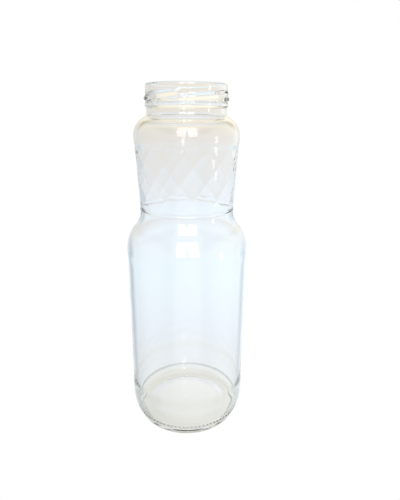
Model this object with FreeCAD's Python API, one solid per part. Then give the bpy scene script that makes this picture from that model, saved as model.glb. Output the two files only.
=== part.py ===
import FreeCAD, Part
import math
import os

from FreeCAD import Vector

# Clear glass milk bottle of about half a litre, with a four-lug twist-off mouth.
# Millimetres. +Z is up, the bottle's axis is Z, it stands on z = 0 and its front faces -Y.
# The bottle is one blown piece of glass. Each node is one zone of that glass, made by its own
# part of the mould, and neighbouring zones meet face to face.

# Driving dimensions: thickness of the glass
WALL = 2.4                  # blown wall, from the heel up to the mouth
BASE_THICKNESS = 3.8        # glass over the hollow underside

# Base and heel
BODY_RADIUS = 35.9          # widest radius, at the two bulges that touch in a crate
HEEL_INSET = 6.4            # how far the standing ring's outer edge is inside the body
HEEL_ROUND = 32.0           # long curve from the body down to the standing ring
TOE_ROUND = 2.5             # small turn from the heel to the standing ring
BEARING_WIDTH = 4.0         # flat standing ring
PUSH_UP_BANK_WIDTH = 3.0    # sloping bank inside the standing ring
PUSH_UP_BANK_HEIGHT = 1.2
PUSH_UP_DOME_RISE = 3.4     # dome of the base, over and under, above its bank
MOAT_HEIGHT = 4.0           # lowest place inside the bottle, in the hollow round the base
MOAT_ROUND = 4.0            # turn from the inner wall to the hollow
KNURL_COUNT = 90            # short upright grooves in a ring round the heel
KNURL_HEIGHT = 8.0          # height of their middle
KNURL_LENGTH = 3.0
KNURL_ROUND = 0.5           # radius of one groove
KNURL_DEPTH = 0.35

# Body, with its recessed label panel between the two bulges
LOWER_BULGE_HEIGHT = 5.4
BULGE_RUNOUT = 5.0          # height over which a bulge fades into the label panel
LABEL_PANEL_HEIGHT = 79.6
LABEL_PANEL_DEPTH = 0.3
UPPER_BULGE_HEIGHT = 1.3

# Lower shoulder, an S-curve, and the plain waist band above it
SHOULDER_HEIGHT = 22.8
SHOULDER_TURN = 13.4        # height of the S-curve's turning point above its foot
WAIST_RING_HEIGHT = 1.5     # fine raised ring at the foot of the band
WAIST_RING_PROUD = 0.25
WAIST_PLAIN_HEIGHT = 0.9    # plain strip between the ring and the facets

# Faceted neck: domed facets in rows, each row turned half a step from the one below
FACET_ZONE_HEIGHT = 34.8
FACET_FOOT_RADIUS = 27.25   # radius over the facets at the foot and the head of their zone
FACET_HEAD_RADIUS = 29.15
FACET_PROUD = 0.27          # height of a facet's dome above the neck
FACET_WIDTH = 9.6
FACET_HEIGHT = 12.0
FACET_COUNT = 12            # facets in each row
FACET_PITCH = 8.97          # height from one row to the next
FACET_FIRST_ROW = -2.3      # height of the lowest row's middle above the foot of the zone
FACET_PHASE = 5.5           # degrees from the front to a facet of the lowest row

# Neck bulge and upper shoulder, a second S-curve
NECK_BULGE_PROUD = 0.4
NECK_BULGE_ROUND_HEIGHT = 4.1
NECK_BULGE_HEIGHT = 0.2
UPPER_SHOULDER_HEIGHT = 12.7
UPPER_SHOULDER_TURN = 9.75

# Mouth: groove, transfer bead, lug wall and sealing lip
FINISH_RADIUS = 22.3
GROOVE_DEPTH = 0.35
GROOVE_HEIGHT = 2.0
BEAD_PROUD = 0.45
BEAD_HEIGHT = 2.8
LUG_WALL_HEIGHT = 6.4
LIP_HEIGHT = 3.0
LIP_OUTER_ROUND = 1.2
LIP_INNER_ROUND = 0.9
LUG_COUNT = 4
LUG_SPAN = 96.0             # degrees; each lug ends over the start of the next
LUG_PHASE = -14.0           # degrees from the front to the low end of one lug
LUG_PROUD = 1.1
LUG_END_PROUD = 0.4
LUG_WIDTH = 2.2
LUG_RISE = 3.3
LUG_ROOT_DEPTH = 0.5        # how far a lug's section starts inside the lug wall
LUG_CLEARANCE = 0.1         # gap from the bead to the lowest lug end
LUG_STATIONS = (0.0, 0.12, 0.3, 0.5, 0.7, 0.88, 1.0)

AXIS = Vector(0, 0, 1)
ORIGIN = Vector(0, 0, 0)

# Radii and heights that follow from the driving dimensions
bearing_outer = BODY_RADIUS - HEEL_INSET
bearing_inner = bearing_outer - BEARING_WIDTH
push_up_edge = bearing_inner - PUSH_UP_BANK_WIDTH
floor_edge_height = PUSH_UP_BANK_HEIGHT + BASE_THICKNESS
body_bore = BODY_RADIUS - WALL
panel_radius = BODY_RADIUS - LABEL_PANEL_DEPTH
waist_radius = FACET_FOOT_RADIUS - FACET_PROUD
waist_bore = waist_radius - WALL
neck_head_radius = FACET_HEAD_RADIUS - FACET_PROUD
neck_head_bore = neck_head_radius - WALL
neck_bulge_radius = FACET_HEAD_RADIUS + NECK_BULGE_PROUD
groove_radius = FINISH_RADIUS - GROOVE_DEPTH
mouth_radius = groove_radius - WALL

# The heel's long curve is tangent to the body and to the toe's small turn
heel_top = TOE_ROUND + math.sqrt(
    (HEEL_ROUND - TOE_ROUND) ** 2 - (bearing_outer - BODY_RADIUS + HEEL_ROUND) ** 2
)
heel_centre = (BODY_RADIUS - HEEL_ROUND, heel_top)
body_top = heel_top + LOWER_BULGE_HEIGHT + 2 * BULGE_RUNOUT + LABEL_PANEL_HEIGHT + UPPER_BULGE_HEIGHT
shoulder_top = body_top + SHOULDER_HEIGHT
waist_top = shoulder_top + WAIST_RING_HEIGHT + WAIST_PLAIN_HEIGHT
facet_head = waist_top + FACET_ZONE_HEIGHT
bulge_top = facet_head + NECK_BULGE_ROUND_HEIGHT + NECK_BULGE_HEIGHT
neck_top = bulge_top + UPPER_SHOULDER_HEIGHT
bead_foot = neck_top + GROOVE_HEIGHT
bead_top = bead_foot + BEAD_HEIGHT
lip_foot = bead_top + LUG_WALL_HEIGHT
total_height = lip_foot + LIP_HEIGHT


def point(radius, height):
    """A point of the half section, which lies in the XZ plane."""
    return Vector(radius, 0, height)


def line(start, end):
    """A straight edge of the half section."""
    return Part.LineSegment(point(*start), point(*end)).toShape()


def chain(*points):
    """Straight edges from point to point."""
    return [line(start, end) for start, end in zip(points, points[1:])]


def arc(start, middle, end):
    """A round edge of the half section through three points."""
    return Part.Arc(point(*start), point(*middle), point(*end)).toShape()


def polar(centre, radius, angle):
    """The point of the half section at an angle (radians) from a centre."""
    return (centre[0] + radius * math.cos(angle), centre[1] + radius * math.sin(angle))


def turned(edges):
    """The solid that a closed half section makes when it turns about the axis."""
    wire = Part.Wire(Part.sortEdges(edges)[0])
    solid = Part.Face(wire).revolve(ORIGIN, AXIS, 360)
    if solid.Volume < 0:
        solid.reverse()
    return Part.Solid(solid)


def s_curve(wide, narrow, foot, height, turn, inset=0.0):
    """Edges of a shoulder: a round crest, then a hollow, upright at both ends.

    With an inset the curve runs parallel to the shoulder, that far inside the glass.
    """
    slope = 2 * math.atan((wide - narrow) / height)
    crest_round = turn / math.sin(slope)
    hollow_round = (height - turn) / math.sin(slope)
    crest = (wide - crest_round, foot)
    hollow = (narrow + hollow_round, foot + height)
    start = polar(crest, crest_round - inset, 0)
    meeting = polar(crest, crest_round - inset, slope)
    end = polar(hollow, hollow_round + inset, math.pi)
    return [
        arc(start, polar(crest, crest_round - inset, slope / 2), meeting),
        arc(meeting, polar(hollow, hollow_round + inset, math.pi + slope / 2), end),
    ]


def front_direction(degrees):
    """Unit vector across the axis, at an angle from the front, positive to the right."""
    angle = math.radians(degrees)
    return Vector(math.sin(angle), -math.cos(angle), 0)


def base_dome(edge_height):
    """The shallow dome over the base disc's edge at a height, and the dome's top."""
    dome_round = (push_up_edge ** 2 + PUSH_UP_DOME_RISE ** 2) / (2 * PUSH_UP_DOME_RISE)
    top = (0.0, edge_height + PUSH_UP_DOME_RISE)
    half_angle = math.asin(push_up_edge / dome_round) / 2
    middle = polar((0.0, top[1] - dome_round), dome_round, math.pi / 2 - half_angle)
    return arc((push_up_edge, edge_height), middle, top), top


def push_up_base():
    """The disc over the hollow underside, domed on both faces."""
    under, under_top = base_dome(PUSH_UP_BANK_HEIGHT)
    floor, floor_top = base_dome(floor_edge_height)
    rim = line((push_up_edge, PUSH_UP_BANK_HEIGHT), (push_up_edge, floor_edge_height))
    return turned([under, line(under_top, floor_top), floor, rim])


def knurl_grooves():
    """Round grooves that lie along the heel's curve, side by side round the bottle."""
    lean = math.asin((KNURL_HEIGHT - heel_top) / HEEL_ROUND)
    middle = polar(heel_centre, HEEL_ROUND + KNURL_ROUND - KNURL_DEPTH, lean)
    foot = polar(middle, KNURL_LENGTH / 2, lean - math.pi / 2)
    grooves = []
    for index in range(KNURL_COUNT):
        outward = front_direction(360.0 * index / KNURL_COUNT)
        start = outward * foot[0] + AXIS * foot[1]
        along = outward * -math.sin(lean) + AXIS * math.cos(lean)
        grooves.append(Part.makeCylinder(KNURL_ROUND, KNURL_LENGTH, start, along))
    return grooves


def heel():
    """The knurled heel and the standing ring, round the base disc."""
    toe_centre = (bearing_outer, TOE_ROUND)
    drop = math.atan2(toe_centre[1] - heel_centre[1], toe_centre[0] - heel_centre[0])
    toe_angle = (drop - math.pi / 2) / 2
    meeting = polar(heel_centre, HEEL_ROUND, drop)
    toe_end = (bearing_outer, 0.0)
    under_edge = (push_up_edge, PUSH_UP_BANK_HEIGHT)
    bore_top = (body_bore, heel_top)
    floor_edge = (push_up_edge, floor_edge_height)
    inner_round = HEEL_ROUND - WALL
    moat_drop = math.asin((MOAT_HEIGHT + MOAT_ROUND - heel_top) / (inner_round - MOAT_ROUND))
    moat = polar(heel_centre, inner_round - MOAT_ROUND, moat_drop)
    wall_foot = polar(heel_centre, inner_round, moat_drop)
    to_floor = (floor_edge[0] - moat[0], floor_edge[1] - moat[1])
    moat_end = math.atan2(to_floor[1], to_floor[0]) + math.acos(MOAT_ROUND / math.hypot(*to_floor))
    bank_foot = polar(moat, MOAT_ROUND, moat_end)
    moat_middle = polar(moat, MOAT_ROUND, (moat_drop + moat_end) / 2)
    edges = [
        arc((BODY_RADIUS, heel_top), polar(heel_centre, HEEL_ROUND, drop / 2), meeting),
        arc(meeting, polar(toe_centre, TOE_ROUND, toe_angle), toe_end),
        *chain(toe_end, (bearing_inner, 0.0), under_edge, floor_edge, bank_foot),
        arc(bank_foot, moat_middle, wall_foot),
        arc(wall_foot, polar(heel_centre, inner_round, moat_drop / 2), bore_top),
        line(bore_top, (BODY_RADIUS, heel_top)),
    ]
    return turned(edges).cut(knurl_grooves())


def body_wall():
    """The upright wall with its label panel between two bulges."""
    panel_foot = heel_top + LOWER_BULGE_HEIGHT + BULGE_RUNOUT
    panel_top = panel_foot + LABEL_PANEL_HEIGHT
    return turned(chain(
        (body_bore, heel_top),
        (BODY_RADIUS, heel_top),
        (BODY_RADIUS, heel_top + LOWER_BULGE_HEIGHT),
        (panel_radius, panel_foot),
        (panel_radius, panel_top),
        (BODY_RADIUS, panel_top + BULGE_RUNOUT),
        (BODY_RADIUS, body_top),
        (body_bore, body_top),
        (body_bore, heel_top),
    ))


def lower_shoulder():
    """The S-curve from the body in to the waist."""
    curve = (BODY_RADIUS, waist_radius, body_top, SHOULDER_HEIGHT, SHOULDER_TURN)
    ends = [
        line((body_bore, body_top), (BODY_RADIUS, body_top)),
        line((waist_bore, shoulder_top), (waist_radius, shoulder_top)),
    ]
    return turned(s_curve(*curve) + s_curve(*curve, inset=WALL) + ends)


def waist_band():
    """The plain band over the shoulder, with a fine raised ring at its foot."""
    ring_top = (waist_radius, shoulder_top + WAIST_RING_HEIGHT)
    ring_nose = (waist_radius + WAIST_RING_PROUD, shoulder_top + WAIST_RING_HEIGHT / 2)
    foot = (waist_radius, shoulder_top)
    sides = chain(
        ring_top,
        (waist_radius, waist_top),
        (waist_bore, waist_top),
        (waist_bore, shoulder_top),
        foot,
    )
    return turned(sides + [arc(foot, ring_nose, ring_top)])


def facet_zone(inner_foot, inner_head, outer_foot, outer_head):
    """A tapered ring over the height of the faceted zone."""
    return turned(chain(
        (inner_foot, waist_top),
        (outer_foot, waist_top),
        (outer_head, facet_head),
        (inner_head, facet_head),
        (inner_foot, waist_top),
    ))


def facet_barrel():
    """A barrel whose side is a facet's dome, standing at the front with its crest at the origin."""
    half_height = FACET_HEIGHT / 2
    half_width = FACET_WIDTH / 2
    stave_round = (half_height ** 2 + FACET_PROUD ** 2) / (2 * FACET_PROUD)
    neck_sag = half_width ** 2 / (FACET_FOOT_RADIUS + FACET_HEAD_RADIUS)
    girth = half_width ** 2 / (2 * (FACET_PROUD + neck_sag))
    end_girth = girth - stave_round + math.sqrt(stave_round ** 2 - FACET_PITCH ** 2)
    stave = arc((end_girth, -FACET_PITCH), (girth, 0.0), (end_girth, FACET_PITCH))
    sides = chain((end_girth, FACET_PITCH), (0.0, FACET_PITCH), (0.0, -FACET_PITCH), (end_girth, -FACET_PITCH))
    barrel = turned(sides + [stave])
    barrel.translate(Vector(0, girth, 0))
    return barrel


def neck_facets():
    """The domed facets, trimmed to their zone and to the neck that they stand on."""
    taper = math.degrees(math.atan((FACET_HEAD_RADIUS - FACET_FOOT_RADIUS) / FACET_ZONE_HEIGHT))
    margin = WALL
    zone = facet_zone(waist_radius, neck_head_radius, waist_radius + margin, neck_head_radius + margin)
    rows = math.ceil((FACET_ZONE_HEIGHT - FACET_FIRST_ROW) / FACET_PITCH)
    step = 360.0 / FACET_COUNT
    facets = []
    for row in range(rows):
        rise = FACET_FIRST_ROW + row * FACET_PITCH
        share = rise / FACET_ZONE_HEIGHT
        crest = FACET_FOOT_RADIUS + share * (FACET_HEAD_RADIUS - FACET_FOOT_RADIUS)
        barrel = facet_barrel()
        barrel.rotate(ORIGIN, Vector(1, 0, 0), taper)
        barrel.translate(Vector(0, -crest, waist_top + rise))
        facet = barrel.common(zone).Solids[0]
        for index in range(FACET_COUNT):
            copy = facet.copy()
            copy.rotate(ORIGIN, AXIS, FACET_PHASE + step * (index + 0.5 * (row % 2)))
            facets.append(copy)
    return facets


def faceted_neck():
    """The tapered neck with its facets."""
    neck = facet_zone(waist_bore, neck_head_bore, waist_radius, neck_head_radius)
    return neck.multiFuse(neck_facets()).removeSplitter()


def upper_shoulder():
    """The neck bulge and the S-curve from it in to the mouth."""
    start = (FACET_HEAD_RADIUS, facet_head)
    crest_foot = (neck_bulge_radius, facet_head + NECK_BULGE_ROUND_HEIGHT)
    swell_round = (NECK_BULGE_ROUND_HEIGHT ** 2 + NECK_BULGE_PROUD ** 2) / (2 * NECK_BULGE_PROUD)
    half_angle = math.asin(NECK_BULGE_ROUND_HEIGHT / swell_round) / 2
    swell = polar((neck_bulge_radius - swell_round, crest_foot[1]), swell_round, -half_angle)
    bore_crest = (neck_bulge_radius - WALL, bulge_top)
    curve = (neck_bulge_radius, groove_radius, bulge_top, UPPER_SHOULDER_HEIGHT, UPPER_SHOULDER_TURN)
    sides = chain(start, (neck_head_bore, facet_head), bore_crest)
    sides += s_curve(*curve) + s_curve(*curve, inset=WALL)
    sides.append(arc(start, swell, crest_foot))
    sides.append(line(crest_foot, (neck_bulge_radius, bulge_top)))
    sides.append(line((groove_radius, neck_top), (mouth_radius, neck_top)))
    return turned(sides)


def transfer_bead():
    """The groove under the mouth and the bead that the mould's neck ring holds it by."""
    foot = (groove_radius, bead_foot)
    nose = (FINISH_RADIUS + BEAD_PROUD, bead_foot + BEAD_HEIGHT / 2)
    top = (FINISH_RADIUS, bead_top)
    sides = chain(top, (mouth_radius, bead_top), (mouth_radius, neck_top), (groove_radius, neck_top), foot)
    return turned(sides + [arc(foot, nose, top)])


def lug_wall():
    """The upright wall that carries the lugs."""
    return turned(chain(
        (mouth_radius, bead_top),
        (FINISH_RADIUS, bead_top),
        (FINISH_RADIUS, lip_foot),
        (mouth_radius, lip_foot),
        (mouth_radius, bead_top),
    ))


def lug(start_degrees):
    """One rising lug, lofted through round sections and trimmed to the lug wall."""
    root = FINISH_RADIUS - LUG_ROOT_DEPTH
    low = bead_top + LUG_CLEARANCE + LUG_WIDTH / 2
    sections = []
    for station in LUG_STATIONS:
        outward = front_direction(start_degrees + LUG_SPAN * station)
        at_end = station in (LUG_STATIONS[0], LUG_STATIONS[-1])
        nose = FINISH_RADIUS + (LUG_END_PROUD if at_end else LUG_PROUD)
        middle = Vector(0, 0, low + LUG_RISE * station)
        half = Vector(0, 0, LUG_WIDTH / 2)
        lower = outward * root + middle - half
        upper = outward * root + middle + half
        back = Part.LineSegment(upper, lower).toShape()
        front = Part.Arc(lower, outward * nose + middle, upper).toShape()
        sections.append(Part.Wire([front, back]))
    blank = Part.makeLoft(sections, True)
    core = Part.makeCylinder(FINISH_RADIUS, total_height)
    return blank.cut(core).Solids[0]


def lid_lugs():
    """The lugs that a twist-off lid turns on."""
    step = 360.0 / LUG_COUNT
    return Part.makeCompound([lug(LUG_PHASE + step * index) for index in range(LUG_COUNT)])


def sealing_lip():
    """The rounded lip that the lid's seal presses on."""
    outer_turn = (FINISH_RADIUS - LIP_OUTER_ROUND, total_height - LIP_OUTER_ROUND)
    inner_turn = (mouth_radius + LIP_INNER_ROUND, total_height - LIP_INNER_ROUND)
    outer_foot = (FINISH_RADIUS, outer_turn[1])
    inner_foot = (mouth_radius, inner_turn[1])
    land_outer = (outer_turn[0], total_height)
    land_inner = (inner_turn[0], total_height)
    sides = chain(inner_foot, (mouth_radius, lip_foot), (FINISH_RADIUS, lip_foot), outer_foot)
    sides.append(arc(outer_foot, polar(outer_turn, LIP_OUTER_ROUND, math.pi / 4), land_outer))
    sides.append(line(land_outer, land_inner))
    sides.append(arc(land_inner, polar(inner_turn, LIP_INNER_ROUND, 3 * math.pi / 4), inner_foot))
    return turned(sides)


NODES = {
    "push_up_base": push_up_base,
    "heel": heel,
    "body_wall": body_wall,
    "lower_shoulder": lower_shoulder,
    "waist_band": waist_band,
    "faceted_neck": faceted_neck,
    "upper_shoulder": upper_shoulder,
    "transfer_bead": transfer_bead,
    "lug_wall": lug_wall,
    "lid_lugs": lid_lugs,
    "sealing_lip": sealing_lip,
}

os.makedirs("parts", exist_ok=True)
for name, build in NODES.items():
    shape = build()
    shape.exportStep("parts/" + name + ".step")
    print(name, "valid", shape.isValid(), "solids", len(shape.Solids), "volume", round(shape.Volume, 2))
print("total height", round(total_height, 2), "mouth radius", round(mouth_radius, 2))
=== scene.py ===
"""A clear glass milk bottle with a quilted neck, on a pale table in soft daylight."""

import logging
import math
from collections.abc import Iterable
from dataclasses import dataclass, field
from enum import Enum, IntEnum

import bpy
import numpy as np
from mathutils import Matrix, Vector


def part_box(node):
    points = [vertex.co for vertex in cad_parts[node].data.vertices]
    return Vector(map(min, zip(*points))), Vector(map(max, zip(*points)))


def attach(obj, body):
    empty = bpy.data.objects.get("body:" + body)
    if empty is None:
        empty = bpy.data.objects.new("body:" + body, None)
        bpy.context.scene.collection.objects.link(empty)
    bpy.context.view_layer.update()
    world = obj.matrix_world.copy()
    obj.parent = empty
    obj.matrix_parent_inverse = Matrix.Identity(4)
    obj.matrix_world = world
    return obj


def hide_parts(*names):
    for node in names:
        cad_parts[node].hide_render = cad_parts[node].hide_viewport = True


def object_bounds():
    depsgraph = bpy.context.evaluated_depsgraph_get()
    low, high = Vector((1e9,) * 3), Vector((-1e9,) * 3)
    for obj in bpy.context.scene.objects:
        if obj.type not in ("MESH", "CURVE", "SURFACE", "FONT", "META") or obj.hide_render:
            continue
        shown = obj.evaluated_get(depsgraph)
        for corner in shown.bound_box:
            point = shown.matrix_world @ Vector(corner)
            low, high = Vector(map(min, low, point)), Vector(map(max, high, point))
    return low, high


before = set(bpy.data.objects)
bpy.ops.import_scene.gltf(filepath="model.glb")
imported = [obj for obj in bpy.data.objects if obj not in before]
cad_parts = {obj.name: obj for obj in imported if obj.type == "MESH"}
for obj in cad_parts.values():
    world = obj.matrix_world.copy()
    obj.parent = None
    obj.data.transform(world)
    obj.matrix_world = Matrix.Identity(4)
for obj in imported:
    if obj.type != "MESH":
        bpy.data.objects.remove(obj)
CAD_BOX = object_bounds()

LOG = logging.getLogger("milk_bottle")
MM = 0.001
FULL_TURN = 360.0
TINY = 1e-6

# Places of the colour sockets on a Mix node
MIX_FIRST = 6
MIX_SECOND = 7
MIX_RESULT = 2

# What the relief reads at each point of the mesh
RELIEF_NOTES = ("turn", "rise", "radius", "faceted", "lugged", "knurl")

Colour = tuple[float, float, float]
Face = tuple[int, ...]
Point = tuple[float, float]


def node_head(node: str) -> float:
    """Height of a CAD node's head, in millimetres."""
    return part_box(node)[1].z / MM


def node_radius(node: str) -> float:
    """Greatest radius of a CAD node about the bottle's axis, in millimetres."""
    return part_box(node)[1].x / MM


def arc_points(centre: Point, radius: float, start: float, end: float, steps: int) -> list[Point]:
    """Points along an arc of the half outline.

    Args:
        centre: Radius and height of the arc's centre.
        radius: The arc's radius.
        start: First angle in radians, from outward and positive upward.
        end: Last angle.
        steps: How many equal steps lie between them.

    Returns:
        Pairs of radius and height.
    """
    angles = [start + (end - start) * index / steps for index in range(steps + 1)]
    return [
        (centre[0] + radius * math.cos(angle), centre[1] + radius * math.sin(angle))
        for angle in angles
    ]


class Columns(IntEnum):
    """How many columns a stretch of the outline has round the axis."""

    PLAIN = 180
    LUGGED = 240
    FACETED = 360
    KNURLED = 1080


@dataclass(frozen=True)
class Corner:
    """A corner of the half outline, in millimetres, with the radius that rounds it."""

    radius: float
    height: float
    rounding: float = 0.0


@dataclass(frozen=True)
class Shoulder:
    """An S-curve between two upright walls: a round crest, then a hollow.

    The turning point is the height above the foot where the crest becomes the hollow.
    """

    wide: float
    narrow: float
    foot: float
    head: float
    turning_point: float

    def corners(self, inset: float = 0.0) -> list[Corner]:
        """Rounded corners of the S-curve, from the foot up.

        Args:
            inset: How far inside the glass the curve runs, parallel to the shoulder.

        Returns:
            The corner under the crest and the corner under the hollow.
        """
        height = self.head - self.foot
        slope = 2 * math.atan((self.wide - self.narrow) / height)
        crest = self.turning_point / math.sin(slope) - inset
        hollow = (height - self.turning_point) / math.sin(slope) + inset
        reach = math.tan(slope / 2)
        return [
            Corner(self.wide - inset, self.foot + crest * reach, crest),
            Corner(self.narrow - inset, self.head - hollow * reach, hollow),
        ]


@dataclass(frozen=True)
class Outline:
    """Points along a half outline that is given by its rounded corners.

    The arc step is in degrees. A straight run longer than the long run gets an extra point near
    each end, as far from it as the edge support says, both in millimetres.
    """

    corners: tuple[Corner, ...]
    arc_step: float = 4.0
    long_run: float = 1.6
    edge_support: float = 0.4

    def points(self) -> list[Point]:
        """Points of the outline, close together on its round stretches.

        Returns:
            Pairs of radius and height, in millimetres, from the first corner to the last.
        """
        found: list[Point] = []
        corners = self._fitted()
        for before, corner, after in zip(corners, corners[1:], corners[2:]):
            found.extend(self._rounded(before, corner, after))
        first, last = self.corners[0], self.corners[-1]
        ends = [(first.radius, first.height), *found, (last.radius, last.height)]
        return self._supported(ends)

    def _fitted(self) -> list[Corner]:
        """Limits the roundings to what the runs between the corners allow.

        Returns:
            The corners, with roundings that fit.
        """
        places = [np.array((corner.radius, corner.height)) for corner in self.corners]
        reaches = [0.0] * len(places)
        for index in range(1, len(places) - 1):
            back = places[index - 1] - places[index]
            ahead = places[index + 1] - places[index]
            cosine = float(back @ ahead) / float(np.linalg.norm(back) * np.linalg.norm(ahead))
            opening = math.acos(max(-1.0, min(1.0, cosine)))
            reaches[index] = self.corners[index].rounding / math.tan(opening / 2)
        shares = [1.0] * len(places)
        for index in range(len(places) - 1):
            run = float(np.linalg.norm(places[index + 1] - places[index]))
            needed = reaches[index] + reaches[index + 1]
            if needed > run:
                shares[index] = min(shares[index], run / needed)
                shares[index + 1] = min(shares[index + 1], run / needed)
        return [
            Corner(corner.radius, corner.height, corner.rounding * share)
            for corner, share in zip(self.corners, shares)
        ]

    def _rounded(self, before: Corner, corner: Corner, after: Corner) -> list[Point]:
        """Rounds one corner.

        Args:
            before: The corner before it along the outline.
            corner: The corner to round.
            after: The corner after it.

        Returns:
            Points of the arc that rounds the corner, or the corner alone if it stays sharp.
        """
        here = np.array((corner.radius, corner.height))
        back = np.array((before.radius, before.height)) - here
        ahead = np.array((after.radius, after.height)) - here
        back /= np.linalg.norm(back)
        ahead /= np.linalg.norm(ahead)
        opening = math.acos(max(-1.0, min(1.0, float(back @ ahead))))
        turn = math.pi - opening
        if corner.rounding <= 0.0 or turn < TINY:
            return [(corner.radius, corner.height)]
        middle = back + ahead
        middle /= np.linalg.norm(middle)
        centre = here + middle * corner.rounding / math.sin(opening / 2)
        start = here + back * corner.rounding / math.tan(opening / 2) - centre
        steps = max(2, math.ceil(math.degrees(turn) / self.arc_step))
        side = math.copysign(1.0, float(back[0] * ahead[1] - back[1] * ahead[0]))
        first = math.atan2(start[1], start[0])
        return arc_points(
            (float(centre[0]), float(centre[1])), corner.rounding, first, first - side * turn, steps
        )

    def _supported(self, points: list[Point]) -> list[Point]:
        """Adds points near both ends of every long straight run.

        Args:
            points: Points of the outline.

        Returns:
            The points with the extra ones among them, and no point twice in a row.
        """
        found = [points[0]]
        for start, end in zip(points, points[1:]):
            run = math.dist(start, end)
            if run < TINY:
                continue
            if run > self.long_run:
                for place in (self.edge_support, run - self.edge_support):
                    share = place / run
                    found.append(tuple(near + (far - near) * share for near, far in zip(start, end)))
            found.append(end)
        return found


@dataclass
class Stretch:
    """A stretch of the outline and the relief that it carries.

    The knurl values are shares of the groove's depth, one for each point.
    """

    points: list[Point]
    columns: Columns = Columns.PLAIN
    faceted: bool = False
    lugged: bool = False
    knurl: list[float] = field(default_factory=list)


def strip_faces(lower: list[int], upper: list[int]) -> list[Face]:
    """Faces between two rings, or between a ring and a point on the axis.

    Args:
        lower: Points of the ring that comes first along the outline.
        upper: Points of the next ring.

    Returns:
        Quads where the counts match, or else triangles in step round the axis. All face outwards.
    """
    if len(lower) == len(upper):
        afters = [*range(1, len(lower)), 0]
        return [
            (lower[here], lower[after], upper[after], upper[here])
            for here, after in enumerate(afters)
        ]
    faces: list[Face] = []
    lower_steps = len(lower) if len(lower) > 1 else 0
    upper_steps = len(upper) if len(upper) > 1 else 0
    left = right = 0
    while left < lower_steps or right < upper_steps:
        start, far = lower[left % len(lower)], upper[right % len(upper)]
        lower_next = (left + 1) / lower_steps if left < lower_steps else math.inf
        upper_next = (right + 1) / upper_steps if right < upper_steps else math.inf
        if lower_next <= upper_next:
            left += 1
            faces.append((start, lower[left % len(lower)], far))
        else:
            right += 1
            faces.append((start, upper[right % len(upper)], far))
    return faces


@dataclass
class Blank:
    """The bottle's mesh before its relief, turned about the axis one ring at a time.

    The first turn is where every ring starts, in degrees from the front.
    """

    first_turn: float
    vertices: list[tuple[float, float, float]] = field(default_factory=list)
    faces: list[Face] = field(default_factory=list)
    notes: dict[str, list[float]] = field(
        default_factory=lambda: {name: [] for name in RELIEF_NOTES}
    )

    def add_ring(self, stretch: Stretch, index: int) -> list[int]:
        """Adds a ring, or one point where the outline meets the axis.

        Args:
            stretch: The stretch of the outline.
            index: The place of the ring's point on the stretch.

        Returns:
            Places of the new points among the vertices.
        """
        radius, height = stretch.points[index]
        count = 1 if radius == 0.0 else int(stretch.columns)
        first = len(self.vertices)
        for column in range(count):
            turn = self.first_turn + FULL_TURN * column / count
            angle = math.radians(turn)
            across, back = radius * math.sin(angle), -radius * math.cos(angle)
            self.vertices.append((across * MM, back * MM, height * MM))
            self.notes["turn"].append(turn)
        shared = {
            "rise": height,
            "radius": radius,
            "faceted": float(stretch.faceted),
            "lugged": float(stretch.lugged),
            "knurl": stretch.knurl[index] if stretch.knurl else 0.0,
        }
        for name, value in shared.items():
            self.notes[name].extend([value] * count)
        return list(range(first, first + count))

    def mesh(self) -> bpy.types.Mesh:
        """Makes the mesh.

        Returns:
            The mesh, whose points carry what the relief reads.
        """
        mesh = bpy.data.meshes.new("bottle_blank")
        mesh.from_pydata(self.vertices, [], self.faces)
        for name, values in self.notes.items():
            attribute = mesh.attributes.new(name, "FLOAT", "POINT")
            attribute.data.foreach_set("value", values)
        return mesh


@dataclass(frozen=True)
class Facets:
    """Rows of domed facets on the neck, each row turned half a step from the last.

    Sizes are in millimetres. The pitch is the height from one row to the next, the first row is
    where the middles of the lowest facets lie over the neck's foot, and the phase is the turn of
    one facet's middle in degrees. The fuller a facet is, the flatter is its middle.
    """

    count: int = 12
    pitch: float = 8.97
    first_row: float = -2.3
    phase: float = 5.5
    proud: float = 0.15
    depth: float = 0.30
    foot_fade: float = 0.8
    fullness: float = 3.0
    head_fade: float = 4.0

    @property
    def mesh_rows(self) -> int:
        """Rows of the mesh from one row of facets to the next."""
        return Columns.FACETED // (2 * self.count)


@dataclass(frozen=True)
class Lugs:
    """Rising lugs that a twist-off lid turns on.

    Sizes are in millimetres. The span, the run of each end and the phase, which is the turn of one
    lug's low end, are in degrees. The middle is the low end's height over the bead, and the
    bluntness rounds the section, as a share of half its width.
    """

    count: int = 4
    span: float = 96.0
    phase: float = -14.0
    proud: float = 1.2
    end_run: float = 12.0
    width: float = 3.6
    bluntness: float = 0.25
    rise: float = 3.3
    middle: float = 1.3
    mesh_rows: int = 26


@dataclass(frozen=True)
class Knurl:
    """A ring of short upright grooves round the heel, with painted shade along their middles,
    darkest in the grooves, where the glass is also made rougher.

    Sizes are in millimetres. The band shade share is how much painted shade and roughness the
    glass between two grooves gets, against the grooves themselves.
    """

    count: int = 90
    width: float = 0.95
    depth: float = 0.35
    middle: float = 8.2
    length: float = 2.4
    band_shade_share: float = 0.8
    mesh_rows: int = 10


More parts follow.
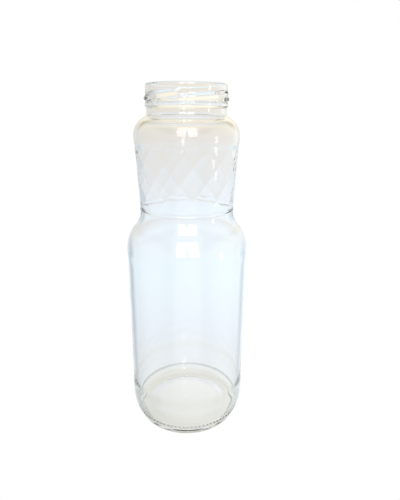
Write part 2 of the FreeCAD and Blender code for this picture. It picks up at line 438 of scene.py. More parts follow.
class Field:
    """A number that varies over the mesh, as a chain of Math nodes."""

    def __init__(self, tree: bpy.types.NodeTree, socket: bpy.types.NodeSocket) -> None:
        """Wraps a socket of the tree."""
        self.tree = tree
        self.socket = socket

    def math(self, operation: str, *others: "Field | float") -> "Field":
        """This field and others through one Math node.

        Args:
            operation: The node's operation.
            others: The second and third inputs, where the operation has them.

        Returns:
            The node's value.
        """
        node = self.tree.nodes.new("ShaderNodeMath")
        node.operation = operation
        self.tree.links.new(self.socket, node.inputs[0])
        for slot, other in zip(list(node.inputs)[1:], others):
            if isinstance(other, Field):
                self.tree.links.new(other.socket, slot)
            else:
                slot.default_value = other
        return Field(self.tree, node.outputs[0])

    def __add__(self, other: "Field | float") -> "Field":
        """Sum."""
        return self.math("ADD", other)

    def __sub__(self, other: "Field | float") -> "Field":
        """Difference."""
        return self.math("SUBTRACT", other)

    def __mul__(self, other: "Field | float") -> "Field":
        """Product."""
        return self.math("MULTIPLY", other)

    def __truediv__(self, other: "Field | float") -> "Field":
        """Quotient."""
        return self.math("DIVIDE", other)

    def less_than_one(self) -> "Field":
        """One less this field, and never under nought."""
        return (self * -1.0 + 1.0).math("MAXIMUM", 0.0)

    def to_nearest_whole(self) -> "Field":
        """Distance from the nearest whole number, with its sign."""
        return self - self.math("ROUND")


class ReliefTree:
    """Geometry nodes that raise the facets and lugs and sink the knurl grooves."""

    def __init__(self, size_names: Iterable[str]) -> None:
        """Builds the tree.

        Args:
            size_names: Names of the tree's inputs for sizes.
        """
        self.tree = bpy.data.node_groups.new("Bottle relief", "GeometryNodeTree")
        interface = self.tree.interface
        interface.new_socket("Geometry", in_out="INPUT", socket_type="NodeSocketGeometry")
        self.identifiers: dict[str, str] = {}
        for name in size_names:
            socket = interface.new_socket(name, in_out="INPUT", socket_type="NodeSocketFloat")
            self.identifiers[name] = socket.identifier
        material = interface.new_socket("Glass", in_out="INPUT", socket_type="NodeSocketMaterial")
        self.identifiers["Glass"] = material.identifier
        interface.new_socket("Geometry", in_out="OUTPUT", socket_type="NodeSocketGeometry")
        self.entry = self.tree.nodes.new("NodeGroupInput")
        self._connect()

    def _size(self, name: str) -> Field:
        """One of the tree's named inputs."""
        return Field(self.tree, self.entry.outputs[name])

    def _attribute(self, name: str) -> Field:
        """Reads a number that the mesh's points carry.

        Args:
            name: The number's name on the mesh.

        Returns:
            The number as a field.
        """
        node = self.tree.nodes.new("GeometryNodeInputNamedAttribute")
        node.data_type = "FLOAT"
        node.inputs["Name"].default_value = name
        return Field(self.tree, node.outputs["Attribute"])

    def _facet_drop(self, turn: Field, rise: Field) -> Field:
        """How far the quilted surface lies under the neck's crown.

        Args:
            turn: Degrees round the axis from the front.
            rise: Height over the standing plane in millimetres.

        Returns:
            The drop in millimetres.
        """
        across = (turn - self._size("Facet turn")) * self._size("Facets in a row") / (FULL_TURN / 2)
        up = (rise - self._size("Lowest facet row")) / self._size("Facet pitch")
        fullness = self._size("Facet fullness")
        rising = (((across + up) / 2.0).to_nearest_whole() * 2.0).math("ABSOLUTE")
        falling = (((across - up) / 2.0).to_nearest_whole() * 2.0).math("ABSOLUTE")
        below = self._size("Facet head") - rise
        near_head = (below / self._size("Facet head fade")).less_than_one()
        depth = near_head.less_than_one() * self._size("Facet depth") / 2.0
        dome = (rising.math("POWER", fullness) + falling.math("POWER", fullness)) * depth
        above = rise - self._size("Facet foot")
        near_foot = (above / self._size("Facet foot fade")).math("MAXIMUM", 0.0).less_than_one()
        rounded = dome + near_foot * near_foot * self._size("Facet foot drop")
        most = above * self._size("Facet crown slope") + self._size("Facet foot drop")
        return rounded.math("MINIMUM", most)

    def _lug_height(self, turn: Field, rise: Field) -> Field:
        """How far the lugs stand out of their wall, where each ends over the start of the next.

        Args:
            turn: Degrees round the axis from the front.
            rise: Height over the standing plane in millimetres.

        Returns:
            The height in millimetres of the lug that stands out further.
        """
        along = (turn - self._size("Lug turn")).math("WRAP", self._size("Lug pitch"), 0.0)
        lug_before = self._one_lug(along + self._size("Lug pitch"), rise)
        return self._one_lug(along, rise).math("MAXIMUM", lug_before)

    def _one_lug(self, along: Field, rise: Field) -> Field:
        """How far one lug stands out, in millimetres.

        Args:
            along: Degrees from the lug's low end.
            rise: Height over the standing plane in millimetres.

        Returns:
            The lug's height over its wall.
        """
        middle = along / self._size("Lug span") * self._size("Lug rise") + self._size("Lug foot")
        across = (rise - middle) / self._size("Lug half width")
        blunt = self._size("Lug bluntness")
        above = (across * across + blunt * blunt).math("SQRT") * -1.0 + 1.0
        section = above + (above * above + blunt * blunt / 4.0).math("SQRT")
        to_end = along.math("MINIMUM", self._size("Lug span") - along) / self._size("Lug end run")
        from_end = to_end.math("MAXIMUM", 0.0).less_than_one()
        return section * (from_end * from_end).less_than_one() * self._size("Lug proud") / 2.0

    def _knurl_share(self, turn: Field, radius: Field) -> Field:
        """How deep the heel's grooves are.

        Args:
            turn: Degrees round the axis from the front.
            radius: Distance from the axis in millimetres.

        Returns:
            The share of the grooves' full depth.
        """
        count = self._size("Knurl count")
        offset = (turn * count / FULL_TURN).to_nearest_whole() / count
        across = offset * radius * math.tau / self._size("Knurl half width")
        return (across * across).less_than_one()

    def _connect(self) -> None:
        """Joins the reliefs to the mesh and closes the tree."""
        nodes, links = self.tree.nodes, self.tree.links
        turn, rise = self._attribute("turn"), self._attribute("rise")
        outward = self._lug_height(turn, rise) * self._attribute("lugged")
        outward = outward - self._facet_drop(turn, rise) * self._attribute("faceted")
        along = self._attribute("knurl")
        groove = self._knurl_share(turn, self._attribute("radius")) * along
        sunk = groove * self._size("Knurl depth")
        # Painted shade on the knurl band, darkest in the grooves: it darkens the glass's colour and
        # roughens it.
        knurl_shade = groove.math("MAXIMUM", along * self._size("Knurl band shade share")) * along
        # Darker and rougher glass towards the standing plane.
        darkening = (rise / self._size("Toe darkening height")).less_than_one() * self._size("Toe darkening share")
        angle = turn.math("RADIANS")
        radial = nodes.new("ShaderNodeCombineXYZ")
        links.new((angle.math("SINE") * outward).socket, radial.inputs["X"])
        links.new((angle.math("COSINE") * outward * -1.0).socket, radial.inputs["Y"])
        inward = nodes.new("ShaderNodeVectorMath")
        inward.operation = "SCALE"
        links.new(nodes.new("GeometryNodeInputNormal").outputs[0], inward.inputs[0])
        links.new((sunk * -1.0).socket, inward.inputs["Scale"])
        both = nodes.new("ShaderNodeVectorMath")
        links.new(radial.outputs[0], both.inputs[0])
        links.new(inward.outputs[0], both.inputs[1])
        metres = nodes.new("ShaderNodeVectorMath")
        metres.operation = "SCALE"
        metres.inputs["Scale"].default_value = MM
        links.new(both.outputs[0], metres.inputs[0])
        # The stored mask darkens and roughens the glass: painted shade on the knurl, darker glass
        # near the standing plane.
        knurl_shade_and_toe_darkening = nodes.new("GeometryNodeStoreNamedAttribute")
        knurl_shade_and_toe_darkening.inputs["Name"].default_value = "knurl_shade_and_toe_darkening"
        links.new(knurl_shade.math("MAXIMUM", darkening).socket, knurl_shade_and_toe_darkening.inputs["Value"])
        shift = nodes.new("GeometryNodeSetPosition")
        smooth = nodes.new("GeometryNodeSetShadeSmooth")
        realize = nodes.new("GeometryNodeRealizeInstances")
        dress = nodes.new("GeometryNodeSetMaterial")
        leave = nodes.new("NodeGroupOutput")
        links.new(self.entry.outputs["Geometry"], knurl_shade_and_toe_darkening.inputs["Geometry"])
        links.new(knurl_shade_and_toe_darkening.outputs[0], shift.inputs["Geometry"])
        links.new(metres.outputs[0], shift.inputs["Offset"])
        links.new(shift.outputs[0], smooth.inputs[0])
        links.new(smooth.outputs[0], realize.inputs[0])
        links.new(realize.outputs[0], dress.inputs["Geometry"])
        links.new(self.entry.outputs["Glass"], dress.inputs["Material"])
        links.new(dress.outputs[0], leave.inputs["Geometry"])


@dataclass
class GlassBottle:
    """The bottle, one closed wall of glass. Sizes are in millimetres."""

    wall: float = 2.4
    facets: Facets = Facets()
    lugs: Lugs = Lugs()
    knurl: Knurl = Knurl()

    # Base, under and over
    base_thickness: float = 3.8
    bearing_width: float = 4.0
    push_up_bank: float = 3.0
    push_up_edge_height: float = 1.2
    push_up_rise: float = 3.4
    bank_round: float = 16.0
    floor_edge_round: float = 6.0
    moat_height: float = 4.0
    moat_round: float = 4.0

    # Heel
    heel_inset: float = 6.4
    heel_round: float = 32.0
    toe_round: float = 2.5
    # How high and how strongly the glass is darker and rougher near the standing plane
    toe_darkening_height: float = 2.0
    toe_darkening_share: float = 0.2

    # Body and lower shoulder
    panel_depth: float = 0.3
    lower_bulge: float = 5.4
    bulge_runout: float = 5.0
    upper_bulge: float = 1.3
    bulge_round: float = 40.0
    lower_turn: float = 13.4

    # Waist, neck and upper shoulder
    waist_ring: float = 1.5
    waist_ring_proud: float = 0.2
    crown_foot: float = 27.25
    crown_head: float = 29.15
    neck_bulge_rise: float = 4.1
    neck_bulge_height: float = 0.2
    neck_bulge_round: float = 20.0
    upper_turn: float = 9.75

    # Mouth
    groove_depth: float = 0.35
    groove_round: float = 0.7
    bead_height: float = 2.8
    bead_flank: float = 0.7
    bead_proud: float = 0.45
    bead_round: float = 0.9
    bead_arc_step: float = 9.0
    lip_outer_round: float = 1.2
    lip_inner_round: float = 0.9
    lip_arc_step: float = 10.0

    # Steps that the round stretches are drawn in
    dome_steps: int = 12
    dome_edge_steps: int = 2
    toe_steps: int = 6
    heel_foot_steps: int = 10
    heel_head_steps: int = 12
    inner_heel_steps: int = 14
    moat_steps: int = 24
    waist_ring_steps: int = 12

    def __post_init__(self) -> None:
        """Takes the main radii and heights from the frame."""
        self.body_radius = node_radius("body_wall")
        self.heel_top = node_head("heel")
        self.body_top = node_head("body_wall")
        self.shoulder_top = node_head("lower_shoulder")
        self.waist_top = node_head("waist_band")
        self.facet_head = node_head("faceted_neck")
        self.neck_top = node_head("upper_shoulder")
        self.bead_top = node_head("transfer_bead")
        self.lip_foot = node_head("lug_wall")
        self.rim = node_head("sealing_lip")
        self.waist_radius = self.crown_foot - self.facets.proud
        self.neck_bulge_radius = node_radius("upper_shoulder")
        self.finish_radius = node_radius("lug_wall")
        self.bearing_radius = self.body_radius - self.heel_inset
        self.push_up_edge = self.bearing_radius - self.bearing_width - self.push_up_bank
        self.groove_radius = self.finish_radius - self.groove_depth
        self.mouth_radius = self.groove_radius - self.wall
        self.heel_centre = (self.body_radius - self.heel_round, self.heel_top)
        self.crown_slope = (self.crown_head - self.crown_foot) / (self.facet_head - self.waist_top)
        self.lowest_facets = self.waist_top + self.facets.first_row
        self.facet_row = self.facets.pitch / self.facets.mesh_rows
        self.lower_shoulder = Shoulder(
            self.body_radius, self.waist_radius, self.body_top, self.shoulder_top, self.lower_turn
        )
        self.upper_shoulder = Shoulder(
            self.neck_bulge_radius,
            self.groove_radius,
            self.facet_head + self.neck_bulge_rise + self.neck_bulge_height,
            self.neck_top,
            self.upper_turn,
        )

    def stretches(self) -> list[Stretch]:
        """Draws the whole half outline.

        Returns:
            Its stretches, from the middle of the underside to the middle of the floor.
        """
        return [
            *self._underside(),
            *self._body(),
            *self._neck(),
            *self._mouth(),
            Stretch([*self._inner_walls(), *self._inner_floor()[1:]]),
        ]

    def _dome(self, edge_height: float) -> list[Point]:
        """Draws the base's shallow dome.

        Args:
            edge_height: Height of the dome's edge.

        Returns:
            Points from the dome's edge to its middle on the axis.
        """
        edge, rise = self.push_up_edge, self.push_up_rise
        dome_round = (edge ** 2 + rise ** 2) / (2 * rise)
        centre = (0.0, edge_height + rise - dome_round)
        lean = math.asin(edge / dome_round)
        points = arc_points(centre, dome_round, math.pi / 2 - lean, math.pi / 2, self.dome_steps)
        return [*points[:-1], (0.0, edge_height + rise)]

    def _underside(self) -> list[Stretch]:
        """Draws the hollow underside, the standing ring and the knurled heel.

        Returns:
            The stretches below the grooves, along them and above them.
        """
        dome = self._dome(self.push_up_edge_height)
        bank = Outline((
            Corner(*dome[self.dome_edge_steps]),
            Corner(*dome[0], self.bank_round),
            Corner(self.bearing_radius - self.bearing_width, 0.0, self.bank_round),
            Corner(self.bearing_radius, 0.0),
        )).points()
        toe_centre = (self.bearing_radius, self.toe_round)
        drop = math.atan2(
            toe_centre[1] - self.heel_centre[1], toe_centre[0] - self.heel_centre[0]
        )
        toe = arc_points(toe_centre, self.toe_round, -math.pi / 2, drop, self.toe_steps)
        middle = math.asin((self.knurl.middle - self.heel_top) / self.heel_round)
        reach = self.knurl.length / self.heel_round / 2
        foot, head = middle - reach, middle + reach
        rows = self.knurl.mesh_rows
        below = arc_points(self.heel_centre, self.heel_round, drop, foot, self.heel_foot_steps)
        band = arc_points(self.heel_centre, self.heel_round, foot, head, rows)
        above = arc_points(self.heel_centre, self.heel_round, head, 0.0, self.heel_head_steps)
        shares = [math.sqrt(math.sin(math.pi * row / rows)) for row in range(rows + 1)]
        return [
            Stretch([*dome[:self.dome_edge_steps:-1], *bank, *toe[1:], *below[1:]]),
            Stretch(band, Columns.KNURLED, knurl=shares),
            Stretch(above),
        ]

    def _body(self) -> list[Stretch]:
        """Draws the upright wall with its label panel, and the lower shoulder.

        Returns:
            One plain stretch.
        """
        panel = self.body_radius - self.panel_depth
        bulge_top = self.heel_top + self.lower_bulge
        panel_top = self.body_top - self.upper_bulge - self.bulge_runout
        corners = (
            Corner(self.body_radius, self.heel_top),
            Corner(self.body_radius, bulge_top, self.bulge_round),
            Corner(panel, bulge_top + self.bulge_runout, self.bulge_round),
            Corner(panel, panel_top, self.bulge_round),
            Corner(self.body_radius, panel_top + self.bulge_runout, self.upper_bulge),
            *self.lower_shoulder.corners(),
            Corner(self.waist_radius, self.shoulder_top),
        )
        return [Stretch(Outline(corners).points())]

    def _waist(self) -> list[Point]:
        """Draws the fine raised ring round the waist and the plain strip above it.

        Returns:
            Points from the waist's foot to the neck's foot.
        """
        points = []
        for step in range(self.waist_ring_steps + 1):
            share = step / self.waist_ring_steps
            swell = math.sin(math.pi * share) ** 2
            height = self.shoulder_top + self.waist_ring * share
            points.append((self.waist_radius + self.waist_ring_proud * swell, height))
        return [*points, (self.waist_radius, self.waist_top)]

    def _crown(self) -> list[Point]:
        """Draws the neck's surface over the facets.

        Returns:
            Points in rows that the facets' creases run through from corner to corner.
        """
        first = math.floor((self.waist_top - self.lowest_facets) / self.facet_row) + 1
        last = math.ceil((self.facet_head - self.lowest_facets) / self.facet_row) - 1
        rows = [self.lowest_facets + self.facet_row * row for row in range(first, last + 1)]
        heights = [self.waist_top, *rows, self.facet_head]
        return [
            (self.crown_foot + self.crown_slope * (height - self.waist_top), height)
            for height in heights
        ]

    def _neck(self) -> list[Stretch]:
        """Draws the waist ring, the faceted neck and the upper shoulder.

        Returns:
            A stretch for each of the three.
        """
        corners = (
            Corner(self.crown_head, self.facet_head),
            Corner(
                self.neck_bulge_radius,
                self.facet_head + self.neck_bulge_rise / 2,
                self.neck_bulge_round,
            ),
            *self.upper_shoulder.corners(),
            Corner(self.groove_radius, self.neck_top),
        )
        return [
            Stretch(self._waist()),
            Stretch(self._crown(), Columns.FACETED, faceted=True),
            Stretch(Outline(corners).points()),
        ]

    def _mouth(self) -> list[Stretch]:
        """Draws the groove, the bead, the wall with its lugs and the lip.

        Returns:
            The stretches below the lugs, along them and above them.
        """
        bead_foot = self.bead_top - self.bead_height
        bead_nose = self.finish_radius + self.bead_proud
        wall_foot = self.bead_top + self.groove_round
        below = (
            Corner(self.groove_radius, self.neck_top),
            Corner(self.groove_radius, bead_foot, self.groove_round),
            Corner(bead_nose, bead_foot + self.bead_flank, self.bead_round),
            Corner(bead_nose, self.bead_top - self.bead_flank, self.bead_round),
            Corner(self.finish_radius, self.bead_top, self.groove_round),
            Corner(self.finish_radius, wall_foot),
        )
        rows = self.lugs.mesh_rows
        wall = [
            (self.finish_radius, wall_foot + (self.lip_foot - wall_foot) * row / rows)
            for row in range(rows + 1)
        ]
        lip = (
            Corner(self.finish_radius, self.lip_foot),
            Corner(self.finish_radius, self.rim, self.lip_outer_round),
            Corner(self.mouth_radius, self.rim, self.lip_inner_round),
            Corner(self.mouth_radius, self.lip_foot),
        )
        return [
            Stretch(Outline(below, self.bead_arc_step).points(), Columns.LUGGED),
            Stretch(wall, Columns.LUGGED, lugged=True),
            Stretch(Outline(lip, self.lip_arc_step).points(), Columns.LUGGED),
        ]

    def _inner_walls(self) -> list[Point]:
        """Draws the inner surface of the mouth, the neck and the body.

        Returns:
            Points from the lip down to the heel.
        """
        return Outline((
            Corner(self.mouth_radius, self.lip_foot),
            *reversed(self.upper_shoulder.corners(self.wall)),
            Corner(
                self.neck_bulge_radius - self.wall,
                self.facet_head + self.neck_bulge_rise / 2,
                self.neck_bulge_round,
            ),
            Corner(
                self.crown_head - self.wall - self.facets.depth / 2,
                self.facet_head - self.facets.head_fade / 2,
                self.neck_bulge_round,
            ),
            *reversed(self.lower_shoulder.corners(self.wall)),
            Corner(self.body_radius - self.wall, self.heel_top),
        )).points()

    def _inner_floor(self) -> list[Point]:
        """Draws the inner surface of the heel and the floor.

        Returns:
            Points from the heel down to the middle of the floor.
        """
        inner_round = self.heel_round - self.wall
        reach = inner_round - self.moat_round
        drop = math.asin((self.moat_height + self.moat_round - self.heel_top) / reach)
        heel = arc_points(self.heel_centre, inner_round, 0.0, drop, self.inner_heel_steps)
        moat_centre = (
            self.heel_centre[0] + reach * math.cos(drop),
            self.heel_centre[1] + reach * math.sin(drop),
        )
        floor_edge = (self.push_up_edge, self.push_up_edge_height + self.base_thickness)
        offset = (floor_edge[0] - moat_centre[0], floor_edge[1] - moat_centre[1])
        moat_end = math.atan2(offset[1], offset[0]) + math.acos(self.moat_round / math.hypot(*offset))
        moat = arc_points(moat_centre, self.moat_round, drop, moat_end, self.moat_steps)
        dome = self._dome(floor_edge[1])
        bank = Outline((
            Corner(*moat[-1]),
            Corner(*floor_edge, self.floor_edge_round),
            Corner(*dome[self.dome_edge_steps]),
        )).points()
        return [*heel, *moat[1:], *bank[1:], *dome[self.dome_edge_steps + 1:]]

    def _lathe(self) -> bpy.types.Mesh:
        """Turns the whole outline about the axis.

        Returns:
            A closed mesh, before its relief.
        """
        blank = Blank(self.facets.phase)
        previous: list[int] = []
        for stretch in self.stretches():
            first = 1 if previous else 0
            for index in range(first, len(stretch.points)):
                ring = blank.add_ring(stretch, index)
                if stretch.faceted and len(ring) == len(previous):
                    foot = stretch.points[index - 1][1]
                    row = round((foot - self.lowest_facets) / self.facet_row)
                    blank.faces += self._creased(previous, ring, row)
                elif previous:
                    blank.faces += strip_faces(previous, ring)
                previous = ring
        return blank.mesh()

    def _creased(self, lower: list[int], upper: list[int], row: int) -> list[Face]:
        """Faces of one mesh row of the faceted neck.

        Args:
            lower: Points of the row's lower ring.
            upper: Points of its upper ring.
            row: The row's place above the middle of the lowest facets.

        Returns:
            Quads, and triangles where a crease runs through a quad from corner to corner.
        """
        faces: list[Face] = []
        half = self.facets.mesh_rows
        for column in range(len(lower)):
            after = (column + 1) % len(lower)
            low, low_next = lower[column], lower[after]
            high, high_next = upper[column], upper[after]
            if (column + row + 1) % (2 * half) == half:
                faces += [(low, low_next, high), (low_next, high_next, high)]
            elif (column - row) % (2 * half) == half:
                faces += [(low, low_next, high_next), (low, high_next, high)]
            else:
                faces.append((low, low_next, high_next, high))
        return faces

    def _relief_sizes(self) -> dict[str, float]:
        """Gathers the sizes that the relief tree takes.

        Returns:
            The tree's inputs by name.
        """
        return {
            "Facets in a row": self.facets.count,
            "Facet pitch": self.facets.pitch,
            "Lowest facet row": self.lowest_facets,
            "Facet turn": self.facets.phase,
            "Facet depth": self.facets.depth,
            "Facet foot": self.waist_top,
            "Facet foot fade": self.facets.foot_fade,
            "Facet fullness": self.facets.fullness,
            "Facet foot drop": self.facets.proud,
            "Facet head": self.facet_head,
            "Facet head fade": self.facets.head_fade,
            "Facet crown slope": self.crown_slope,
            "Lug pitch": FULL_TURN / self.lugs.count,
            "Lug span": self.lugs.span,
            "Lug turn": self.lugs.phase,
            "Lug foot": self.bead_top + self.lugs.middle,
            "Lug rise": self.lugs.rise,
            "Lug half width": self.lugs.width / 2,
            "Lug bluntness": self.lugs.bluntness,
            "Lug end run": self.lugs.end_run,
            "Lug proud": self.lugs.proud,
            "Knurl count": self.knurl.count,
            "Knurl half width": self.knurl.width / 2,
            "Knurl depth": self.knurl.depth,
            "Knurl band shade share": self.knurl.band_shade_share,
            "Toe darkening height": self.toe_darkening_height,
            "Toe darkening share": self.toe_darkening_share,
        }

    def build(self, glass: bpy.types.Material) -> bpy.types.Object:
        """Makes the bottle and hands it to the frame.

        Args:
            glass: The finish of the whole bottle.

        Returns:
            The finished piece.
        """
        sizes = self._relief_sizes()
        relief = ReliefTree(sizes)
        blank = bpy.data.objects.new("bottle_blank", self._lathe())
        bpy.context.scene.collection.objects.link(blank)
        modifier = blank.modifiers.new("Relief", "NODES")
        modifier.node_group = relief.tree
        for name, value in sizes.items():
            modifier[relief.identifiers[name]] = float(value)
        modifier[relief.identifiers["Glass"]] = glass
        graph = bpy.context.evaluated_depsgraph_get()
        mesh = bpy.data.meshes.new_from_object(blank.evaluated_get(graph))
        bpy.data.objects.remove(blank)
        for name in RELIEF_NOTES:
            mesh.attributes.remove(mesh.attributes[name])
        mesh.name = "bottle_glass"
        piece = bpy.data.objects.new("bottle_glass", mesh)
        bpy.context.scene.collection.objects.link(piece)
        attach(piece, "root")
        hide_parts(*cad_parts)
        piece.visible_shadow = False
        piece.visible_diffuse = False
        return piece


@dataclass(frozen=True)
class ClearGlass:
    """Fire-polished clear glass, a little wavy, as a mould leaves it.

    The waves' height is in metres.
    """

    tint: Colour = (1.0, 1.0, 1.0)
    # Painted shade: where the mesh's mask says, the glass's colour goes towards this dark tint (knurl
    # band, and near the standing plane).
    shade_and_darkening_tint: Colour = (0.42, 0.42, 0.42)
    shade_and_darkening_roughness: float = 0.3
    ior: float = 1.5
    absorbed: Colour = (0.52, 0.58, 0.60)
    density: float = 8.0
    wave_scale: float = 55.0
    wave_detail: float = 1.0
    wave_height: float = 0.00004

    def make(self) -> bpy.types.Material:
        """Builds the material.

        Returns:
            The finish, darkened and made rougher where the mesh's mask says: painted shade on the
            knurl band, and darker glass near the standing plane.
        """
        material = bpy.data.materials.new("clear_glass")
        material.use_nodes = True
        nodes, links = material.node_tree.nodes, material.node_tree.links
        shader = nodes["Principled BSDF"]
        shader.inputs["IOR"].default_value = self.ior
        shader.inputs["Transmission Weight"].default_value = 1.0
        knurl_shade_and_toe_darkening = nodes.new("ShaderNodeAttribute")
        knurl_shade_and_toe_darkening.attribute_name = "knurl_shade_and_toe_darkening"
        # Painted shade: mixes the glass's colour towards the dark tint where the mask says.
        darkening = nodes.new("ShaderNodeMix")
        darkening.data_type = "RGBA"
        darkening.inputs[MIX_FIRST].default_value = (*self.tint, 1.0)
        darkening.inputs[MIX_SECOND].default_value = (*self.shade_and_darkening_tint, 1.0)
        links.new(knurl_shade_and_toe_darkening.outputs["Fac"], darkening.inputs["Factor"])
        links.new(darkening.outputs[MIX_RESULT], shader.inputs["Base Color"])
        dull = nodes.new("ShaderNodeMath")
        dull.operation = "MULTIPLY"
        dull.inputs[1].default_value = self.shade_and_darkening_roughness
        links.new(knurl_shade_and_toe_darkening.outputs["Fac"], dull.inputs[0])
        links.new(dull.outputs[0], shader.inputs["Roughness"])
        place = nodes.new("ShaderNodeTexCoord")
        waves = nodes.new("ShaderNodeTexNoise")
        waves.inputs["Scale"].default_value = self.wave_scale
        waves.inputs["Detail"].default_value = self.wave_detail
        bump = nodes.new("ShaderNodeBump")
        bump.inputs["Strength"].default_value = 1.0
        bump.inputs["Distance"].default_value = self.wave_height
        links.new(place.outputs["Object"], waves.inputs["Vector"])
        links.new(waves.outputs["Fac"], bump.inputs["Height"])
        links.new(bump.outputs["Normal"], shader.inputs["Normal"])
        depth = nodes.new("ShaderNodeVolumeAbsorption")
        depth.inputs["Color"].default_value = (*self.absorbed, 1.0)
        depth.inputs["Density"].default_value = self.density
        links.new(depth.outputs[0], nodes["Material Output"].inputs["Volume"])
        return material


def colour_ramp(nodes: bpy.types.Nodes, stops: list[tuple[float, Colour]]) -> bpy.types.Node:
    """Makes a colour ramp.

    Args:
        nodes: Where the ramp is made.
        stops: Places along the ramp and their colours, in order.

    Returns:
        The ramp's node.
    """
    ramp = nodes.new("ShaderNodeValToRGB")
    elements = ramp.color_ramp.elements
    elements.remove(elements[1])
    for index, (place, colour) in enumerate(stops):
        element = elements[0] if index == 0 else elements.new(place)
        element.position = place
        element.color = (*colour, 1.0)
    return ramp


@dataclass(frozen=True)
class Tone:
    """The room's colours at one height above the horizon, in degrees.

    The room is darker to the sides of the bottle than before and behind it.
    """

    elevation: float
    colour: Colour
    aside: Colour

    @property
    def place(self) -> float:
        """Where the tone stands on a ramp from straight down to straight up."""
        return (math.sin(math.radians(self.elevation)) + 1) / 2


class Shows(Enum):
    """Where a window's reflection shows."""

    ON_THE_GLASS = "on the outer surface"
    INSIDE_THE_GLASS = "on the surfaces behind it"


@dataclass(frozen=True)
class Window:
    """A bright pane that stands round the bottle.

    Angles are in degrees: turn from the front, positive to the right, and elevation.
    """

    name: str
    turn: tuple[float, float]
    elevation: tuple[float, float]
    radiance: float
    shows: Shows = Shows.ON_THE_GLASS
    distance: float = 12.0

    def place(self, aim: Vector) -> None:
        """Stands the pane in the scene.

        Args:
            aim: The point that it faces.
        """
        turn = math.radians(sum(self.turn) / 2)
        lift = math.radians(sum(self.elevation) / 2)
        outward = Vector((
            math.sin(turn) * math.cos(lift), -math.cos(turn) * math.cos(lift), math.sin(lift)
        ))
        light = bpy.data.lights.new(self.name, "AREA")
        light.shape = "RECTANGLE"
        half_turn = math.radians(self.turn[1] - self.turn[0]) / 2
        half_lift = math.radians(self.elevation[1] - self.elevation[0]) / 2
        light.size = 2 * self.distance * math.tan(half_turn) * math.cos(lift)
        light.size_y = 2 * self.distance * math.tan(half_lift)
        light.energy = self.radiance * math.pi * light.size * light.size_y
        lamp = bpy.data.objects.new(self.name, light)
        lamp.location = aim + outward * self.distance
        lamp.visible_glossy = self.shows is Shows.ON_THE_GLASS
        lamp.visible_transmission = self.shows is Shows.INSIDE_THE_GLASS
        lamp.rotation_mode = "QUATERNION"
        lamp.rotation_quaternion = outward.to_track_quat("Z", "Y")
        bpy.context.scene.collection.objects.link(lamp)


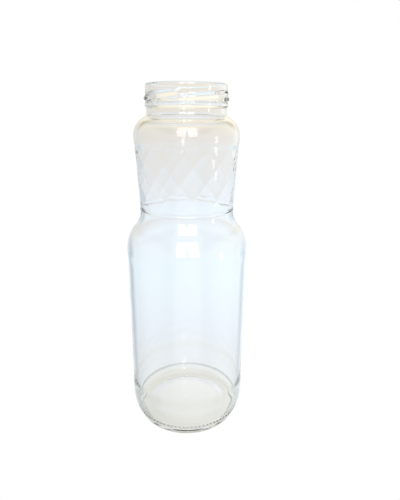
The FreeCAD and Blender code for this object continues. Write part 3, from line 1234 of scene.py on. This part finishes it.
@dataclass(frozen=True)
class Studio:
    """A pale table in a bright room, overexposed to white, and the camera.

    The camera sees plain white. The glass shows the room's own tones. Lengths are in metres, but
    for the sensor's, and angles in degrees. The side shares say how much of the side tones shows,
    by how far a direction points to either side, and the lean brightens the room to the right.
    """

    table_radius: float = 0.5
    table_gap: float = 0.0002
    table_sides: int = 96
    tones: tuple[Tone, ...] = (
        Tone(-90.0, (0.92, 0.92, 0.87), (0.90, 0.90, 0.86)),
        Tone(-64.0, (0.88, 0.88, 0.83), (0.82, 0.84, 0.82)),
        Tone(-48.0, (0.82, 0.82, 0.77), (0.68, 0.71, 0.71)),
        Tone(-41.0, (0.83, 0.84, 0.79), (0.65, 0.69, 0.70)),
        Tone(-37.0, (0.85, 0.87, 0.85), (0.63, 0.68, 0.70)),
        Tone(-29.0, (0.88, 0.94, 1.00), (0.61, 0.68, 0.74)),
        Tone(-22.0, (0.90, 1.00, 1.06), (0.61, 0.70, 0.76)),
        Tone(-15.0, (0.89, 0.98, 1.05), (0.64, 0.73, 0.79)),
        Tone(-11.0, (0.86, 0.91, 0.96), (0.68, 0.75, 0.80)),
        Tone(-7.0, (0.82, 0.83, 0.83), (0.74, 0.79, 0.82)),
        Tone(-4.0, (0.81, 0.80, 0.78), (0.81, 0.84, 0.84)),
        Tone(0.0, (0.82, 0.78, 0.72), (0.86, 0.87, 0.85)),
        Tone(5.0, (0.86, 0.81, 0.71), (0.87, 0.87, 0.82)),
        Tone(14.0, (1.04, 0.98, 0.82), (0.80, 0.77, 0.68)),
        Tone(24.0, (1.04, 0.98, 0.82), (0.52, 0.48, 0.36)),
        Tone(40.0, (0.98, 0.92, 0.77), (0.34, 0.31, 0.22)),
        Tone(90.0, (0.66, 0.64, 0.58), (0.60, 0.58, 0.52)),
    )
    side_shares: tuple[tuple[float, float], ...] = (
        (0.36, 0.0),
        (0.48, 1.0),
        (0.66, 1.0),
        (0.85, 0.2),
    )
    lean: float = 0.2
    windows: tuple[Window, ...] = (
        Window("window_left_pane", (-22.0, -1.2), (7.0, 54.0), 4.5),
        Window("window_right_pane", (1.2, 24.0), (7.0, 54.0), 4.5),
        Window("side_window", (62.0, 69.0), (-12.0, 6.0), 3.5),
        Window("inner_pane", (5.0, 14.0), (8.0, 46.0), 3.0, Shows.INSIDE_THE_GLASS),
    )
    camera_distance: float = 0.2352
    camera_height: float = 0.1879
    camera_pitch: float = 18.2
    camera_yaw: float = 1.92
    camera_roll: float = 0.40
    sensor_width: float = 36.0
    nearest_seen: float = 0.01
    focal_pixels: float = 405.0
    image_height: float = 500.0
    light_bounces: int = 32

    def table(self) -> None:
        """The pale table top, which only the camera sees, and only from above."""
        rim = []
        for index in range(self.table_sides):
            angle = math.tau * index / self.table_sides
            rim.append((
                self.table_radius * math.cos(angle),
                self.table_radius * math.sin(angle),
                -self.table_gap,
            ))
        mesh = bpy.data.meshes.new("table_top")
        mesh.from_pydata(rim, [], [tuple(range(self.table_sides))])
        top = bpy.data.objects.new("table_top", mesh)
        bpy.context.scene.collection.objects.link(top)
        material = bpy.data.materials.new("pale_table")
        material.use_nodes = True
        nodes, links = material.node_tree.nodes, material.node_tree.links
        nodes.remove(nodes["Principled BSDF"])
        face = nodes.new("ShaderNodeNewGeometry")
        white = nodes.new("ShaderNodeEmission")
        clear = nodes.new("ShaderNodeBsdfTransparent")
        mix = nodes.new("ShaderNodeMixShader")
        links.new(face.outputs["Backfacing"], mix.inputs[0])
        links.new(white.outputs[0], mix.inputs[1])
        links.new(clear.outputs[0], mix.inputs[2])
        links.new(mix.outputs[0], nodes["Material Output"].inputs["Surface"])
        mesh.materials.append(material)
        top.visible_transmission = False
        top.visible_glossy = False
        top.visible_diffuse = False
        top.visible_shadow = False

    def room(self) -> None:
        """The bright room: plain white to the camera, with its tones in the glass."""
        world = bpy.data.worlds.new("bright_room")
        bpy.context.scene.world = world
        world.use_nodes = True
        nodes, links = world.node_tree.nodes, world.node_tree.links
        nodes.clear()
        place = nodes.new("ShaderNodeTexCoord")
        split = nodes.new("ShaderNodeSeparateXYZ")
        links.new(place.outputs["Generated"], split.inputs[0])
        height = nodes.new("ShaderNodeMapRange")
        height.inputs["From Min"].default_value = -1.0
        links.new(split.outputs["Z"], height.inputs["Value"])
        ahead = colour_ramp(nodes, [(tone.place, tone.colour) for tone in self.tones])
        aside = colour_ramp(nodes, [(tone.place, tone.aside) for tone in self.tones])
        links.new(height.outputs[0], ahead.inputs[0])
        links.new(height.outputs[0], aside.inputs[0])
        across = nodes.new("ShaderNodeMath")
        across.operation = "ABSOLUTE"
        links.new(split.outputs["X"], across.inputs[0])
        side_stops = [(far, (share, share, share)) for far, share in self.side_shares]
        to_side = colour_ramp(nodes, side_stops)
        links.new(across.outputs[0], to_side.inputs[0])
        blend = nodes.new("ShaderNodeMix")
        blend.data_type = "RGBA"
        links.new(to_side.outputs[0], blend.inputs["Factor"])
        links.new(ahead.outputs[0], blend.inputs[MIX_FIRST])
        links.new(aside.outputs[0], blend.inputs[MIX_SECOND])
        seen = nodes.new("ShaderNodeBackground")
        seen.inputs["Color"].default_value = (1.0, 1.0, 1.0, 1.0)
        in_glass = nodes.new("ShaderNodeBackground")
        links.new(blend.outputs[MIX_RESULT], in_glass.inputs["Color"])
        brighter = nodes.new("ShaderNodeMath")
        brighter.operation = "MULTIPLY_ADD"
        brighter.inputs[1].default_value = self.lean
        brighter.inputs[2].default_value = 1.0
        links.new(split.outputs["X"], brighter.inputs[0])
        links.new(brighter.outputs[0], in_glass.inputs["Strength"])
        path = nodes.new("ShaderNodeLightPath")
        mix = nodes.new("ShaderNodeMixShader")
        links.new(path.outputs["Is Camera Ray"], mix.inputs[0])
        links.new(in_glass.outputs[0], mix.inputs[1])
        links.new(seen.outputs[0], mix.inputs[2])
        leave = nodes.new("ShaderNodeOutputWorld")
        links.new(mix.outputs[0], leave.inputs["Surface"])

    def camera(self) -> None:
        """The camera, at the photograph's viewing angle."""
        data = bpy.data.cameras.new("camera")
        data.sensor_width = self.sensor_width
        data.lens = data.sensor_width * self.focal_pixels / self.image_height
        data.clip_start = self.nearest_seen
        eye = bpy.data.objects.new("camera", data)
        pitch = Matrix.Rotation(math.radians(90.0 - self.camera_pitch), 4, "X")
        yaw = Matrix.Rotation(math.radians(-self.camera_yaw), 4, "Z")
        roll = Matrix.Rotation(math.radians(self.camera_roll), 4, "Z")
        place = Matrix.Translation((0.0, -self.camera_distance, self.camera_height))
        eye.matrix_world = place @ yaw @ pitch @ roll
        bpy.context.scene.collection.objects.link(eye)
        bpy.context.scene.camera = eye

    def build(self) -> None:
        """Sets the table, the room, its windows and the camera."""
        self.table()
        self.room()
        aim = (CAD_BOX[0] + CAD_BOX[1]) / 2
        for window in self.windows:
            window.place(aim)
        self.camera()
        scene = bpy.context.scene
        scene.view_settings.view_transform = "Standard"
        scene.cycles.max_bounces = self.light_bounces
        scene.cycles.transmission_bounces = self.light_bounces
        scene.cycles.glossy_bounces = self.light_bounces
        scene.cycles.use_denoising = True


def main() -> None:
    """Builds the bottle and its studio, and reports each piece."""
    logging.basicConfig(level=logging.INFO, format="%(name)s: %(message)s")
    bottle = GlassBottle().build(ClearGlass().make())
    bottle.data.calc_loop_triangles()
    LOG.info("%s: %d triangles", bottle.name, len(bottle.data.loop_triangles))
    Studio().build()
    LOG.info("studio: %d lights", len(bpy.data.lights))


if __name__ == "__main__":
    main()
